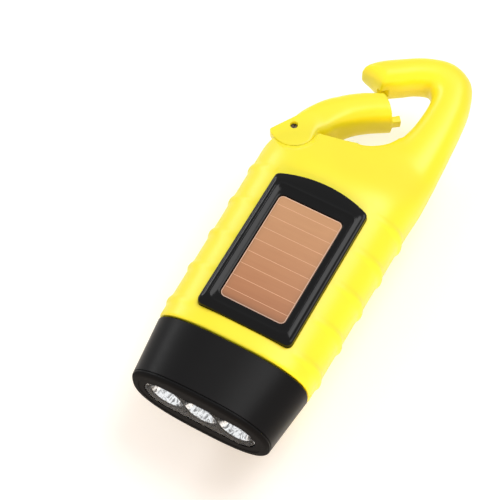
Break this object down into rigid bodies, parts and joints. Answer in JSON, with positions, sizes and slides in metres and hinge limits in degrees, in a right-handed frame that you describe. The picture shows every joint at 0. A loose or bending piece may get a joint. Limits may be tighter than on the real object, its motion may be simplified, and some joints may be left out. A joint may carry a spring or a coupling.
{
  "type": "hand crank flashlight",
  "caption": "Hand crank and solar flashlight with a flat case, a lens end with LEDs, a solar panel, a fold-out crank and a carabiner hook with a sprung gate.",
  "frame": {"origin": "under the middle of the part, on the plane of the crank arm's outer face, which it lies on", "axes": "+Y from the lens end to the carabiner hook, +Z out of the solar panel, +X to the solid arm of the hook"},
  "size_m": [0.0486, 0.1298, 0.035],
  "materials": {
    "yellow_plastic": "smooth moulded yellow, satin gloss",
    "black_plastic": "smooth satin black",
    "gloss_black": "glossy black",
    "clear_lens": "clear and polished",
    "reflector_chrome": "bright vacuum plating on plastic",
    "led_epoxy": "clear epoxy",
    "circuit_board": "green solder mask",
    "solar_cell": "copper brown under clear resin, with thin light lines",
    "steel": "plated",
    "brass": "turned",
    "white_nylon": "natural nylon",
    "bonded_magnet": "plastic bonded ferrite",
    "copper_wire": "enamelled wire"
  },
  "bodies": {
    "case": {"front_shell": "yellow_plastic", "back_shell": "yellow_plastic", "head_cap": "black_plastic", "front_lens": "clear_lens", "reflector": "reflector_chrome", "led_left": "led_epoxy", "led_center": "led_epoxy", "led_right": "led_epoxy", "led_board": "circuit_board", "solar_frame": "gloss_black", "solar_board": "circuit_board", "solar_cell": "solar_cell", "gate_pin": "steel", "gate_spring": "steel", "main_board": "circuit_board", "cell_holder": "black_plastic", "coin_cell": "steel", "switch_body": "black_plastic", "button_spring": "steel", "step_axle_1": "steel", "step_axle_2": "steel", "gear_plate": "white_nylon", "stator_core": "steel", "coil_bobbin": "black_plastic", "coil_winding": "copper_wire", "crank_bush": "brass", "case_screw_1": "steel", "case_screw_2": "steel", "case_screw_3": "steel", "case_screw_4": "steel"},
    "gate": {"gate": "yellow_plastic"},
    "button": {"switch_button": "black_plastic", "switch_plunger": "white_nylon"},
    "crank": {"crank_shaft": "steel", "crank_arm": "black_plastic", "crank_screw": "steel", "knob_pin": "steel", "drive_gear": "white_nylon"},
    "step_wheel_1": {"step_gear_1": "white_nylon"},
    "step_wheel_2": {"step_gear_2": "white_nylon"},
    "rotor": {"rotor_pinion": "brass", "magnet_rotor": "bonded_magnet"},
    "knob_post": {"knob_yoke": "black_plastic", "knob_screw": "steel"},
    "knob": {"knob_sleeve": "black_plastic"}
  },
  "joints": [
    {"name": "gate_swing", "type": "hinge", "parent": "case", "child": "gate", "pos_m": [-0.0188, 0.02268, 0.022], "axis": [0, 0, 1], "range_deg": [-6, 20], "stiffness_Nm_per_rad": 0.02, "springref_deg": 51.57, "deforming": ["gate_spring"]},
    {"name": "button_press", "type": "slide", "parent": "case", "child": "button", "axis": [0, 0, 1], "range_m": [0, 0.001], "stiffness_N_per_m": 250, "springref_m": -0.002, "deforming": ["button_spring"]},
    {"name": "crank_spin", "type": "hinge", "parent": "case", "child": "crank", "pos_m": [0, -0.01692, 0.004], "axis": [0, 0, 1], "continuous": true},
    {"name": "step_1_spin", "type": "hinge", "parent": "case", "child": "step_wheel_1", "pos_m": [-0.00761, -0.0006, 0.016], "axis": [0, 0, 1], "continuous": true},
    {"name": "step_2_spin", "type": "hinge", "parent": "case", "child": "step_wheel_2", "pos_m": [0.00435, 0.00044, 0.018], "axis": [0, 0, 1], "continuous": true},
    {"name": "rotor_spin", "type": "hinge", "parent": "case", "child": "rotor", "pos_m": [-0.00165, 0.01084, 0.024], "axis": [0, 0, 1], "continuous": true},
    {"name": "knob_fold", "type": "hinge", "parent": "crank", "child": "knob_post", "pos_m": [0, 0.02158, 0.0045], "axis": [1, 0, 0], "range_deg": [0, 90]},
    {"name": "knob_spin", "type": "hinge", "parent": "knob_post", "child": "knob", "pos_m": [0, 0.011, 0.0045], "axis": [0, 1, 0], "continuous": true}
  ],
  "couplings": [
    {"joint": "step_1_spin", "follows": "crank_spin", "ratio": -4},
    {"joint": "step_2_spin", "follows": "crank_spin", "ratio": 12},
    {"joint": "rotor_spin", "follows": "crank_spin", "ratio": -36}
  ]
}
